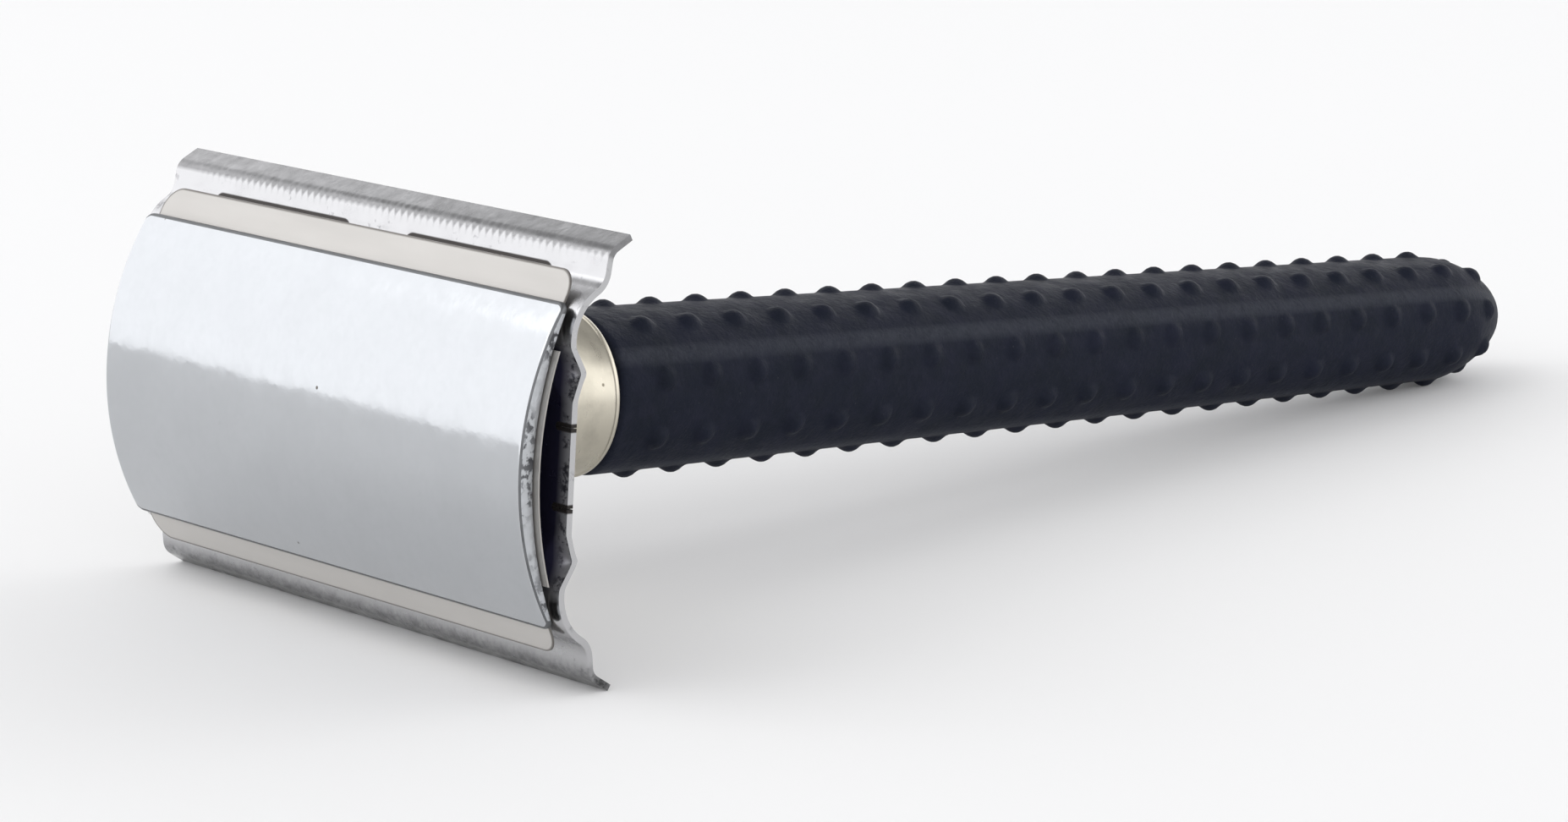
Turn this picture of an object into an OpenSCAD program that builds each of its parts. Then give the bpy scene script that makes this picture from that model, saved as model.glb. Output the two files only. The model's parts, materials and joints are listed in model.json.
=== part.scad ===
// Three-piece double-edge safety razor with a rubber grip, lying at rest.
// The razor is drawn about its handle: X runs along the blade, Y from the base plate to the butt,
// and Z from one cutting edge to the other. Y = 0 is the back of the base plate, where the neck seats.
// placed() then lays it down on its lower guard lip and its last full ring of grip bumps.

/* [Blade] */
// Length of each cutting edge
blade_l = 37.3; // [35:0.1:38]
// Width of the flat blade, from edge to edge
blade_w = 22; // [21.4:0.1:22.4]
// Thickness of the blade
blade_t = 0.1; // [0.08:0.01:0.15]
// Radius that the blade is bent to in use
blade_bend_r = 20.5; // [19:0.5:24]
// Rounding of the blade's corners
blade_corner_r = 1.3; // [0.5:0.1:2]
// Overall length over the blade's two end tabs
tab_l = 39.2; // [38.6:0.1:39.6]
// Width of the end tabs
tab_w = 12.8; // [10:0.1:14]
// Width of the long slot down the middle of the blade
blade_slot_w = 1.6; // [1:0.1:2.2]

/* [Cap] */
// Length of the cap
cap_l = 38.46; // [37.6:0.02:39]
// Width of the cap between its two thin edges
cap_w = 17.8; // [16.6:0.1:18.4]
// Thickness of the cap at its crown
cap_t = 0.95; // [0.7:0.05:1.4]
// Thickness of the cap at its two long edges
cap_edge_t = 0.3; // [0.2:0.05:0.45]
// Rounding of the cap's corners
cap_corner_r = 0.55; // [0.3:0.05:1.5]

/* [Stud and pins] */
// Diameter of the threaded stud
stud_d = 4.8; // [4:0.1:5.2]
// Pitch of the stud's thread
thread_pitch = 0.8; // [0.5:0.05:1]
// Length of thread that is screwed into the bush
thread_grip = 4.8; // [3:0.1:7]
// Plain length of stud behind the base plate, before the thread
shank_l = 3.2; // [2:0.1:5]
// Diameter of the collar under the cap
collar_d = 7.2; // [6.4:0.1:8]
// Diameter of the two locating pins
pin_d = 2.8; // [2.2:0.1:3.2]
// Distance of each pin from the end of the blade's tab
pin_inset = 7.1; // [6:0.1:9]
// Length of the pins behind the base plate
pin_reach = 4.1; // [2:0.1:6]

/* [Base plate] */
// How far the base plate reaches past the blade's tab at each end
plate_over = 0.21; // [0.1:0.01:0.8]
// Thickness of the sheet
plate_t = 0.38; // [0.3:0.02:0.5]
// Width of the flat that the neck seats on
seat_w = 6.8; // [5:0.2:8]
// Width of the ramp on each side of that flat
ramp_w = 1.6; // [1:0.1:2]
// Rise of the shelf beside the flat, towards the blade
shelf_rise = 0.3; // [0:0.05:0.4]
// Width of the shelf between the two shoulders
shelf_w = 13.8; // [12:0.2:14.2]
// Radius of the shoulders that carry the blade
shoulder_r = 3; // [2.4:0.1:3.2]
// Radius of the valleys between shoulder and guard
valley_r = 1.34; // [0.8:0.02:1.5]
// Slope of the shoulders where they run into the valleys
shoulder_a = 60; // [50:1:64]
// Straight length of the slope between shoulder and valley
slope_l = 0.04; // [0.02:0.01:0.6]
// Width of the straight part of each guard
guard_w = 0.66; // [0.3:0.02:1.2]
// Slope of the guards away from the blade
guard_a = 8; // [0:1:14]
// Radius of the bend between guard and lip
lip_r = 0.9; // [0.5:0.05:1.4]
// Angle that the lip is bent back by
lip_a = 60; // [40:1:75]
// Straight length of the lip
lip_l = 1.1; // [0.5:0.05:1.8]

/* [Openings of the base plate] */
// Length of each of the four drain slots
drain_l = 12.7; // [8:0.1:14]
// Width of each drain slot
drain_w = 1.1; // [0.6:0.05:1.4]
// Distance of the slots' outer sides from the bottom of the valley
drain_in = 0.28; // [0:0.02:0.6]
// Bridge of metal between the two slots of one side
drain_bridge = 5.3; // [3:0.1:8]
// Length of the notches in the plate's ends
notch_l = 1.3; // [0.5:0.1:2]
// Width of those notches
notch_w = 0.5; // [0.3:0.05:0.8]
// Distance between the two notches of one end
notch_span = 4.4; // [3:0.1:6]
// Outer radius of the dimples pressed into the plate's ends
dimple_r = 1.2; // [0.9:0.05:1.4]
// Depth of those dimples
dimple_depth = 0.85; // [0.4:0.05:1]
// Distance between the two dimples of one end
dimple_span = 10.2; // [9:0.1:11]

/* [Neck and bush] */
// Length of the neck
neck_l = 15.8; // [12:0.1:20]
// Diameter of the neck at the grip
neck_d = 9.8; // [9.4:0.1:10.2]
// Diameter of the neck at its waist
waist_d = 8.4; // [8.2:0.1:9.2]
// Diameter of the neck's front flange
flange_d = 10.4; // [9.6:0.1:12]
// Thickness of the front flange
flange_t = 0.9; // [0.5:0.1:2]
// Length of the straight band before the grip
band_l = 3.6; // [2:0.1:5]
// Height of the thin rim at the neck's end
rim_h = 0.12; // [0.05:0.01:0.3]
// Width of that rim
rim_w = 0.3; // [0.2:0.05:0.6]
// Diameter of the thread bush
bush_d = 7; // [6.6:0.1:7.2]
// Length of the thread bush
bush_l = 8; // [6:0.1:8.4]

/* [Grip] */
// Length of the grip
grip_l = 83.8; // [70:0.1:95]
// Distance between opposite sides at the front
grip_w = 9.6; // [9.2:0.05:10]
// Distance between opposite rounded corners at the front
ridge_w = 10.2; // [9.9:0.05:10.6]
// Radius of the four softly bulging sides at the front
side_r = 6.5; // [6.2:0.1:9]
// Loss of radius over the length of the grip, per millimetre
grip_taper = 0.0085; // [0:0.0001:0.009]
// Turn of the grip's sides against the blade
grip_turn = -13; // [-45:0.1:45]
// Length of the domed butt, from its widest place to its tip
dome_l = 11.3; // [8:0.1:14]
// Radius of the dome at its widest place, past the rounded corners there
dome_r = 4.75; // [4.7:0.05:5.4]
// Rings of bumps
bump_rings = 22; // [10:1:22]
// Distance from the grip's front to the first ring
bump_first = 3.42; // [2:0.02:6]
// Distance between rings
bump_pitch = 3.642; // [3:0.002:3.7]
// Turn of the rows of bumps against the grip's sides
bump_turn = 6.4; // [-10:0.1:10]
// Half the angle between the two rows of each side
bump_row_a = 22.5; // [18:0.1:26]
// Diameter of a bump at its foot
bump_d = 1.6; // [1:0.05:1.8]
// Height of a bump
bump_h = 0.4; // [0.2:0.01:0.6]

/* [Core] */
// Outer diameter of the core tube
core_d = 7; // [6:0.1:7.2]
// Wall of the core tube
core_wall = 0.6; // [0.4:0.05:1]
// Length of the plug in the core's end
plug_l = 6; // [3:0.1:12]

/* [Clearances] */
// Gap between blade and cap
cap_gap = 0.1; // [0.05:0.01:0.2]
// Gap between blade and the plate's shoulders
blade_gap = 0.1; // [0.05:0.01:0.2]
// Gap round the pins and the collar where they pass the blade and the plate
pin_gap = 0.1; // [0.05:0.01:0.2]
// Gap between stud and bush, on the radius
thread_gap = 0.05; // [0.02:0.01:0.1]
// Gap between pieces that are fixed in each other
seat_gap = 0.03; // [0.01:0.01:0.05]
// Gap round the stud in the neck and the plate
stud_gap = 0.3; // [0.2:0.05:0.5]
// Gap between the neck's rim and the grip
grip_gap = 0.3; // [0.1:0.05:0.6]

/* [Hidden] */
slack = 1;
pin_span = tab_l - 2 * pin_inset;
plate_l = tab_l + 2 * plate_over;

// Half section of the base plate's sheet, as the middle line [y, z] of the metal
seat_mid = -plate_t / 2;
shelf_mid = seat_mid - shelf_rise;
guard_mid = shelf_mid + (shoulder_r + valley_r) * (1 - cos(shoulder_a)) + slope_l * sin(shoulder_a);
slope_z = shelf_w / 2 + shoulder_r * sin(shoulder_a);
valley_z = slope_z + slope_l * cos(shoulder_a) + valley_r * sin(shoulder_a);
bend_y0 = guard_mid - valley_r * (1 - cos(guard_a)) + guard_w * sin(guard_a) + lip_r * cos(guard_a);
bend_z0 = valley_z - valley_r * sin(guard_a) + guard_w * cos(guard_a) - lip_r * sin(guard_a);
lip_y = bend_y0 - lip_r * cos(lip_a) + lip_l * sin(lip_a);
lip_z = bend_z0 + lip_r * sin(lip_a) + lip_l * cos(lip_a);
half_sheet = concat(
    [[seat_mid, seat_w / 2], [shelf_mid, seat_w / 2 + ramp_w]],
    [for (a = [0:6:shoulder_a]) [shelf_mid + shoulder_r * (1 - cos(a)), shelf_w / 2 + shoulder_r * sin(a)]],
    [for (i = [0:6]) let (a = shoulder_a + (guard_a - shoulder_a) * i / 6)
        [guard_mid - valley_r * (1 - cos(a)), valley_z - valley_r * sin(a)]],
    [for (i = [0:6]) let (a = guard_a + (lip_a - guard_a) * i / 6)
        [bend_y0 - lip_r * cos(a), bend_z0 + lip_r * sin(a)]],
    [[lip_y, lip_z]]);
sheet = concat([for (i = [len(half_sheet) - 1:-1:0]) [half_sheet[i][0], -half_sheet[i][1]]], half_sheet);

// The blade is an arc that clears both shoulders, and the cap's underside follows the blade
blade_mid_d = blade_bend_r - blade_t / 2 - shoulder_r - plate_t / 2 - blade_gap;
bend_y = shelf_mid + shoulder_r + sqrt(pow(blade_mid_d, 2) - pow(shelf_w / 2, 2));
blade_half = blade_bend_r * sin(blade_w / 2 / blade_bend_r * 180 / PI);
under_r = blade_bend_r + blade_t / 2 + cap_gap;
crown_y = bend_y - under_r - cap_t;
cap_edge_y = bend_y - sqrt(pow(under_r, 2) - pow(cap_w / 2, 2)) - cap_edge_t;
cap_rise = cap_edge_y - crown_y;
cap_r = (pow(cap_w / 2, 2) + pow(cap_rise, 2)) / (2 * cap_rise);

// Stud, collar and pins
collar_end = -plate_t - pin_gap;
stud_end = shank_l + thread_grip;
bush_y = shank_l;
bush_end = bush_y + bush_l;
socket_r = bush_d / 2 + seat_gap;

// Grip, core and butt
grip_y = neck_l + grip_gap;
grip_end = grip_y + grip_l;
dome_y = grip_end - dome_l;
core_y = bush_end + seat_gap;
core_end = dome_y + dome_l * 0.28;
core_r = core_d / 2;
core_in_r = core_r - core_wall;
bump_r = (pow(bump_d / 2, 2) + pow(bump_h, 2)) / (2 * bump_h);
ring_y = [for (k = [0:bump_rings - 1]) grip_y + bump_first + k * bump_pitch];
row_a = [bump_turn - bump_row_a, bump_turn + bump_row_a];

// Whether a bump at place y, an angle a away from its side's middle, is on the dome
function on_dome(y, a) = y > dome_y && dome_reach(y) < side_reach(y, a);

// Distance from the axis to the grip's surface at place y, an angle a away from a side's middle
function side_reach(y, a) =
    let (o = side_r - grip_w / 2, r = side_r - grip_taper * (y - grip_y))
    min(ridge_w / 2 - grip_taper * (y - grip_y), sqrt(r * r - pow(o * sin(a), 2)) - o * cos(a));

// Radius of the dome at place y
function dome_reach(y) = dome_r * sqrt(max(0, 1 - pow((y - dome_y) / dome_l, 2)));

// Rest: the lip's lowest corner and the lowest bump of the last full ring touch the table
lip_corner_y = lip_y - plate_t / 2 * cos(lip_a);
lip_corner_z = lip_z + plate_t / 2 * sin(lip_a);
full_rings = [for (y = ring_y) if (!on_dome(y, row_a[0]) && !on_dome(y, row_a[1])) y];
rest_y = full_rings[len(full_rings) - 1];
rest_z = max([for (f = [0:3], a = row_a)
    (side_reach(rest_y, a) + bump_h - bump_r) * sin(-grip_turn - 90 * f - a)]);
rest_dy = rest_y - lip_corner_y;
rest_dz = lip_corner_z - rest_z;
rest_tilt = acos(bump_r / norm([rest_dy, rest_dz])) - atan2(rest_dy, rest_dz);
rest_lift = lip_corner_y * sin(rest_tilt) + lip_corner_z * cos(rest_tilt);
front_y = (crown_y + cap_r) * cos(rest_tilt) - cap_r;
back_y = dome_y * cos(rest_tilt) + norm([dome_l * cos(rest_tilt), dome_r * sin(rest_tilt)]);
middle_y = (front_y + back_y) / 2;

// Lays the razor down with its lowest points at Z = 0 and its length centred on Y
module placed()
    translate([0, -middle_y, rest_lift])
        rotate([-rest_tilt, 0, 0])
            children();

// Extrudes a section, drawn as [y, z], along X
module along_x(l)
    rotate([90, 0, 90])
        translate([0, 0, -l / 2])
            linear_extrude(l)
                children();

// Stands an outline, drawn as [x, z], along Y from y0 to y1
module along_y(y0, y1)
    translate([0, y0, 0])
        rotate([-90, 0, 0])
            linear_extrude(y1 - y0)
                children();

// Cylinder about the handle's axis
module rod(r, y0, y1, fn = 64)
    translate([0, y0, 0])
        rotate([-90, 0, 0])
            cylinder(h = y1 - y0, r = r, $fn = fn);

// Rectangle with rounded corners
module rounded(l, w, r) {
    square([l - 2 * r, w], center = true);
    square([l, w - 2 * r], center = true);
    for (x = [-1, 1], z = [-1, 1])
        translate([x * (l / 2 - r), z * (w / 2 - r)])
            circle(r = r, $fn = 32);
}

// What rounding takes off the corners of a rectangle
module corner_cuts(l, w, r)
    for (x = [-1, 1], z = [-1, 1])
        scale([x, z])
            translate([l / 2 - r, w / 2 - r])
                difference() {
                    square(r + slack);
                    circle(r = r, $fn = 32);
                }

// Slot with round ends along x
module slot(l, w) {
    square([l - w, w], center = true);
    for (x = [-1, 1])
        translate([x * (l - w) / 2, 0])
            circle(d = w, $fn = 24);
}

// Points at distance d beside a line
function beside(line, d) = [for (i = [0:len(line) - 1])
    let (a = line[max(i - 1, 0)], b = line[i], c = line[min(i + 1, len(line) - 1)],
         u = i == 0 ? c - b : b - a, v = i == len(line) - 1 ? b - a : c - b,
         m = u / norm(u) + v / norm(v), n = m / norm(m), k = d / (n * u / norm(u)))
    b + k * [-n[1], n[0]]];

// Both locating pins' places
module at_pins(sides = [-1, 1])
    for (s = sides)
        translate([s * pin_span / 2, 0, 0])
            children();

module cap()
    color([0.86, 0.87, 0.89])
        intersection() {
            along_x(cap_l + slack)
                difference() {
                    translate([crown_y + cap_r, 0])
                        circle(r = cap_r, $fn = 180);
                    translate([bend_y, 0])
                        circle(r = under_r, $fn = 180);
                }
            along_y(crown_y - slack, cap_edge_y + slack)
                rounded(cap_l, cap_w, cap_corner_r);
        }

// Space under the cap, a seat gap below its underside
module under_cap()
    along_x(pin_span + 4 * pin_d)
        translate([bend_y, 0])
            circle(r = under_r - seat_gap, $fn = 180);

module stud()
    color([0.72, 0.72, 0.74])
        intersection() {
            under_cap();
            translate([0, crown_y, 0])
                rotate([-90, 0, 0])
                    rotate_extrude($fn = 64)
                        polygon(concat(
                            [[0, 0], [stud_d / 2, 0], [stud_d / 2, shank_l - crown_y]],
                            [for (t = [0:floor(thread_grip / thread_pitch) - 1], q = [0, 1])
                                [stud_d / 2 - (1 - q) * thread_pitch * 0.3,
                                 shank_l - crown_y + (t + 0.5 + q * 0.5) * thread_pitch]],
                            [[stud_d / 2 - 0.4, stud_end - crown_y], [0, stud_end - crown_y]]));
        }

module stud_collar()
    color([0.78, 0.78, 0.8])
        intersection() {
            under_cap();
            difference() {
                rod(collar_d / 2, crown_y, collar_end);
                rod(stud_d / 2 + seat_gap, crown_y - slack, slack);
            }
        }

module pin(side)
    color([0.8, 0.8, 0.82])
        intersection() {
            under_cap();
            at_pins([side])
                union() {
                    rod(pin_d / 2, crown_y, pin_reach - pin_d / 4, 32);
                    translate([0, pin_reach - pin_d / 4, 0])
                        rotate([-90, 0, 0])
                            cylinder(h = pin_d / 4, r1 = pin_d / 2, r2 = pin_d / 4, $fn = 32);
                }
        }

module blade()
    color([0.82, 0.81, 0.8])
        difference() {
            intersection() {
                along_x(tab_l + slack)
                    intersection() {
                        difference() {
                            translate([bend_y, 0])
                                circle(r = blade_bend_r + blade_t / 2, $fn = 180);
                            translate([bend_y, 0])
                                circle(r = blade_bend_r - blade_t / 2, $fn = 180);
                        }
                        translate([crown_y, -blade_w])
                            square([bend_y - crown_y, 2 * blade_w]);
                    }
                along_y(crown_y, guard_mid + slack) {
                    square([blade_l, 2 * blade_half], center = true);
                    square([tab_l, tab_w], center = true);
                }
            }
            along_y(crown_y, guard_mid + slack)
                corner_cuts(blade_l, 2 * blade_half, blade_corner_r);
            rod(collar_d / 2 + pin_gap, crown_y, slack);
            at_pins()
                rod(pin_d / 2 + pin_gap, crown_y, slack, 32);
            along_y(crown_y, slack)
                slot(pin_span + 2 * pin_d, blade_slot_w);
        }

module base_plate()
    color([0.74, 0.76, 0.79])
        difference() {
            union() {
                along_x(plate_l)
                    polygon(concat(
                        beside(sheet, plate_t / 2),
                        [for (i = [len(sheet) - 1:-1:0]) beside(sheet, -plate_t / 2)[i]]));
                // each dimple ends at the plate's end and behind the sheet's inner face
                intersection() {
                    at_dimples()
                        sphere(r = dimple_r, $fn = 40);
                    translate([-plate_l / 2, shelf_mid, -plate_l / 2])
                        cube(plate_l);
                }
            }
            at_dimples()
                sphere(r = dimple_r - plate_t, $fn = 40);
            rod(stud_d / 2 + stud_gap, -slack, slack);
            at_pins()
                rod(pin_d / 2 + pin_gap, -slack, slack, 32);
            along_y(-slack, lip_y)
                for (x = [-1, 1], z = [-1, 1])
                    translate([x * (drain_l + drain_bridge) / 2, z * (valley_z - drain_in - drain_w / 2)])
                        slot(drain_l, drain_w);
            along_y(-slack, slack)
                for (x = [-1, 1], z = [-1, 1])
                    translate([x * plate_l / 2, z * notch_span / 2])
                        square([2 * notch_l, notch_w], center = true);
        }

module at_dimples()
    for (x = [-1, 1], z = [-1, 1])
        translate([x * plate_l / 2, shelf_mid + plate_t / 2 + dimple_depth - dimple_r, z * dimple_span / 2])
            children();

// The neck's outline runs from the flange through the waist to the straight band and its rim
module neck() {
    flare_y = neck_l - band_l;
    outline = concat(
        [[flange_d / 2, 0], [flange_d / 2, flange_t]],
        [for (a = [0:15:180])
            [waist_d / 2 + (flange_d - waist_d) * (1 + cos(a)) / 4 * 0.8,
             flange_t + 0.2 + (flare_y - flange_t) * 0.4 * a / 180]],
        [for (a = [15:15:180])
            [waist_d / 2 + (neck_d - waist_d) / 2 * (1 - cos(a)) / 2,
             flange_t + 0.2 + (flare_y - flange_t) * (0.4 + 0.58 * a / 180)]],
        [[neck_d / 2, neck_l - rim_w], [neck_d / 2 + rim_h, neck_l - rim_w],
         [neck_d / 2 + rim_h, neck_l], [socket_r, neck_l], [socket_r, bush_y],
         [stud_d / 2 + stud_gap, bush_y], [stud_d / 2 + stud_gap, 0]]);
    color([0.8, 0.78, 0.71])
        rotate([-90, 0, 0])
            rotate_extrude($fn = 96)
                polygon(outline);
}

module thread_bush()
    color([0.78, 0.62, 0.3])
        difference() {
            rod(bush_d / 2, bush_y + seat_gap, bush_end);
            rod(stud_d / 2 + thread_gap, bush_y - slack, bush_end + slack);
        }

module handle_core()
    color([0.62, 0.63, 0.65])
        difference() {
            rod(core_r, core_y, core_end);
            rod(core_in_r, core_y - slack, core_end + slack);
        }

module core_plug()
    color([0.3, 0.3, 0.32])
        rod(core_in_r - seat_gap, core_end - plug_l, core_end);

// A cone about the handle's axis that loses the grip's taper
module tapered(r, y0, y1)
    translate([0, y0, 0])
        rotate([-90, 0, 0])
            cylinder(h = y1 - y0, r1 = r, r2 = r - grip_taper * (y1 - y0), $fn = 96);

// One bump at place y along side f, an angle a away from its middle: on the dome it stands square to it
module bump(y, f, a) {
    reach = on_dome(y, a) ? dome_reach(y) : side_reach(y, a);
    lean = on_dome(y, a) ? atan2((y - dome_y) / pow(dome_l, 2), reach / pow(dome_r, 2)) : 0;
    rotate([0, -grip_turn - 90 * f - a, 0])
        translate([reach, y, 0])
            rotate([0, 0, lean])
                translate([bump_h - bump_r, 0, 0])
                    sphere(r = bump_r, $fn = 24);
}

// The dome is half an ellipse turned about the handle's axis, with a plain rod before it
module domed(r)
    rotate([-90, 0, 0])
        rotate_extrude($fn = 96)
            polygon(concat(
                [[0, grip_y], [r, grip_y], [r, dome_y + dome_l * sin(12)]],
                [for (a = [12:6:90]) [dome_r * cos(a), dome_y + dome_l * sin(a)]]));

module grip()
    color([0.13, 0.15, 0.19])
        difference() {
            union() {
                intersection() {
                    tapered(ridge_w / 2, grip_y, grip_end + slack);
                    for_sides() translate([grip_w / 2 - side_r, 0, 0])
                        tapered(side_r, grip_y, grip_end + slack);
                    domed(ridge_w);
                }
                for (y = ring_y, f = [0:3], a = row_a)
                    bump(y, f, a);
            }
            rod(core_r + seat_gap, grip_y - slack, core_end + seat_gap);
        }

// Keeps what all four sides of the grip have in common
module for_sides()
    intersection_for(f = [0:3])
        rotate([0, -grip_turn - 90 * f, 0])
            children();

placed() cap();
placed() stud();
placed() stud_collar();
placed() pin(-1);  // pin_left
placed() pin(1);  // pin_right
placed() blade();
placed() base_plate();
placed() neck();
placed() thread_bush();
placed() handle_core();
placed() grip();
placed() core_plug();
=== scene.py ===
"""Dresses a three-piece safety razor: a chromed cap, a pressed guard plate, a nickel neck and a rubber grip.

Every shape is worked out in millimetres about the handle: X along the blade, Y from the plate's back to the
butt, Z from one cutting edge to the other. handle_frame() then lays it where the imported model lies.
"""
import json
import math

import bmesh
import bpy
import numpy as np
from mathutils import Matrix, Vector


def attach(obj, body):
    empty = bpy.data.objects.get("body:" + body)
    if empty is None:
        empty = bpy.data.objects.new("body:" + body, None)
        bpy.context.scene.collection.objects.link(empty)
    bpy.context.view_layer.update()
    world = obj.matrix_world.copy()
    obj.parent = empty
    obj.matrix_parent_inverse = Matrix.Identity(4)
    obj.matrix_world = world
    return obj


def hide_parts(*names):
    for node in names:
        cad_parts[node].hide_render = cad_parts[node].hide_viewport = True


bl_info = {
    "name": "Safety razor dresser",
    "version": (1, 0, 0),
    "blender": (4, 5, 0),
    "location": "View3D > Sidebar > Razor",
    "description": "Builds the visible surfaces and finishes of a three-piece safety razor",
    "category": "Add Mesh",
}

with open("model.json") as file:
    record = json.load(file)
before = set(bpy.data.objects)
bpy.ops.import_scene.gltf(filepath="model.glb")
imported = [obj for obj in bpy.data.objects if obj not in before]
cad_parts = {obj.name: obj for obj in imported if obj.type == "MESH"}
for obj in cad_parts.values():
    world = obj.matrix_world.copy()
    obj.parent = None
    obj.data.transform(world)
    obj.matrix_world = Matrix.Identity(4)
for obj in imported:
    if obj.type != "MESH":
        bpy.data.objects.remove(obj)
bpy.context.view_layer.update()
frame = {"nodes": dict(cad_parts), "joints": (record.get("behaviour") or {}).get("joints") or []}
MM = 0.001
TURN = next(j for j in frame["joints"] if j["name"] == "head_turn")
SEAT = np.array(TURN["pos_m"])
ALONG = -np.array(TURN["axis"]) / np.linalg.norm(TURN["axis"])
ACROSS = np.array([1.0, 0.0, 0.0])
HIGH = np.cross(ACROSS, ALONG)


def handle_frame(points):
    """Places points given in millimetres about the handle: seat + x across + y along + z high, in metres."""
    p = np.asarray(points, float).reshape(-1, 3) * MM
    return SEAT + p[:, :1] * ACROSS + p[:, 1:2] * ALONG + p[:, 2:] * HIGH


def extent(node):
    """Lowest and highest corner of a solid, in millimetres about the handle."""
    mesh = frame["nodes"][node].data
    co = np.zeros(len(mesh.vertices) * 3)
    mesh.vertices.foreach_get("co", co)
    rel = (co.reshape(-1, 3) - SEAT) / MM
    local = np.stack([rel @ ACROSS, rel @ ALONG, rel @ HIGH], 1)
    return local.min(0), local.max(0)


CAP_LO, CAP_HI = extent("cap")
GRIP_LO, GRIP_HI = extent("grip")
PLATE_HI, NECK_HI, CORE_HI = (extent(node)[1] for node in ("base_plate", "neck", "handle_core"))

# Openings of the plate, in millimetres: place along x and z (at plus and minus both), length over all, width.
SLOT = (9.0, 9.78, 12.7, 1.05)
NOTCH = (PLATE_HI[0] + 0.35, 2.2, 3.3, 0.06)
STUD_HOLE, PIN_HOLE, PIN_X = 2.7, 1.5, 12.5
# Their rims of painted shadow on the face: place along x and over the section, half the straight length,
# radius.
SHADOW_RIMS = ((9.0, 10.62, 5.8, 0.56), (19.9, 2.2, 1.15, 0.1))
# Millimetres from rib to rib on the plate's bends, and those that its UV map spans both ways.
RIB_PITCH, UV_SPAN = 0.58, 40.0
# Slow waves in the cap's face: share of the height, radians a millimetre along x and z, phase.
CAP_WAVES = ((1.0, 0.41, 0.23, 1.1), (0.6, 0.83, -0.5, 0.4), (0.35, 1.7, 0.9, 2.0))
# Half lengths of the blade's flat inside the painted shadow line, which runs round them at the last two
# distances.
FLAT_X, FLAT_Z, SHADOW_FROM, SHADOW_TO = 17.35, 9.18, 1.18, 1.26
# The camera in the handle's frame: its place in millimetres, then its right, up and back as rows.
CAMERA_PLACE = (214.54192, -165.43088, 45.59200)
CAMERA_AXES = np.array([[0.67204888, 0.73848810, 0.05464100],
                        [-0.15607720, 0.06913109, 0.98532269],
                        [0.72387168, -0.67071322, 0.16172063]])


def length(name, description, default, low=0.0):
    """A length property, in metres."""
    return bpy.props.FloatProperty(name=name, description=description, default=default * MM, min=low,
                                   unit="LENGTH", subtype="DISTANCE", precision=5)


def angle(name, description, default):
    """An angle property."""
    return bpy.props.FloatProperty(name=name, description=description, default=math.radians(default),
                                   unit="ROTATION", subtype="ANGLE")


def share(name, description, default):
    """A number from 0 to 1."""
    return bpy.props.FloatProperty(name=name, description=description, default=default, min=0.0, max=1.0,
                                   subtype="FACTOR")


def colour(name, description, default):
    """A linear colour."""
    return bpy.props.FloatVectorProperty(name=name, description=description, default=default, size=3,
                                         min=0.0, max=1.0, subtype="COLOR")


class RazorHeadSizes(bpy.types.PropertyGroup):
    """Sizes of the cap and the guard plate."""
    bend: length("Blade bend", "Radius that the blade is bent to", 20.5)
    bend_centre: length("Bend centre", "Distance from the plate's back to the centre of that bend", 18.22)
    cap_under: length("Cap underside", "Radius of the cap's underside", 20.65)
    cap_edge: length("Cap edge", "Thickness of the cap at its long edges", 0.3)
    cap_corner: length("Cap corner", "Rounding of the cap's corners", 0.55)
    cap_roll: length("Cap roll", "Rounding where the cap's face turns into its ends", 0.16)
    cap_wave: length("Cap waviness", "Height of the slow waves in the chromed face", 0.016)
    sheet: length("Sheet", "Thickness of the guard plate", 0.38)
    seat: length("Seat", "Width of the flat the neck seats on", 6.8)
    ramp: length("Ramp", "Width of the ramp beside that flat", 1.6)
    shelf: length("Shelf", "Width between the two shoulders", 13.8)
    shelf_rise: length("Shelf rise", "Rise of the shelf above the seat", 0.3)
    shoulder: length("Shoulder", "Radius of the shoulders", 3.0)
    valley: length("Valley", "Radius of the valleys", 1.34)
    slope: length("Slope", "Straight length between shoulder and valley", 0.04)
    slope_angle: angle("Slope angle", "Slope between shoulder and valley", 60)
    guard: length("Guard", "Width of the straight guard", 0.66)
    guard_angle: angle("Guard angle", "Slope of the guards away from the blade", 8)
    lip_bend: length("Lip bend", "Radius of the bend into the lip", 0.9)
    lip: length("Lip", "Straight length of the lip", 1.1)
    lip_angle: angle("Lip angle", "Angle the lip is bent back by", 60)
    dimple: length("Dimple", "Radius of the dimples in the plate's ends", 1.2)
    dimple_depth: length("Dimple depth", "Depth of those dimples", 0.85)
    dimple_span: length("Dimple span", "Distance between the dimples of one end", 10.2)


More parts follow.
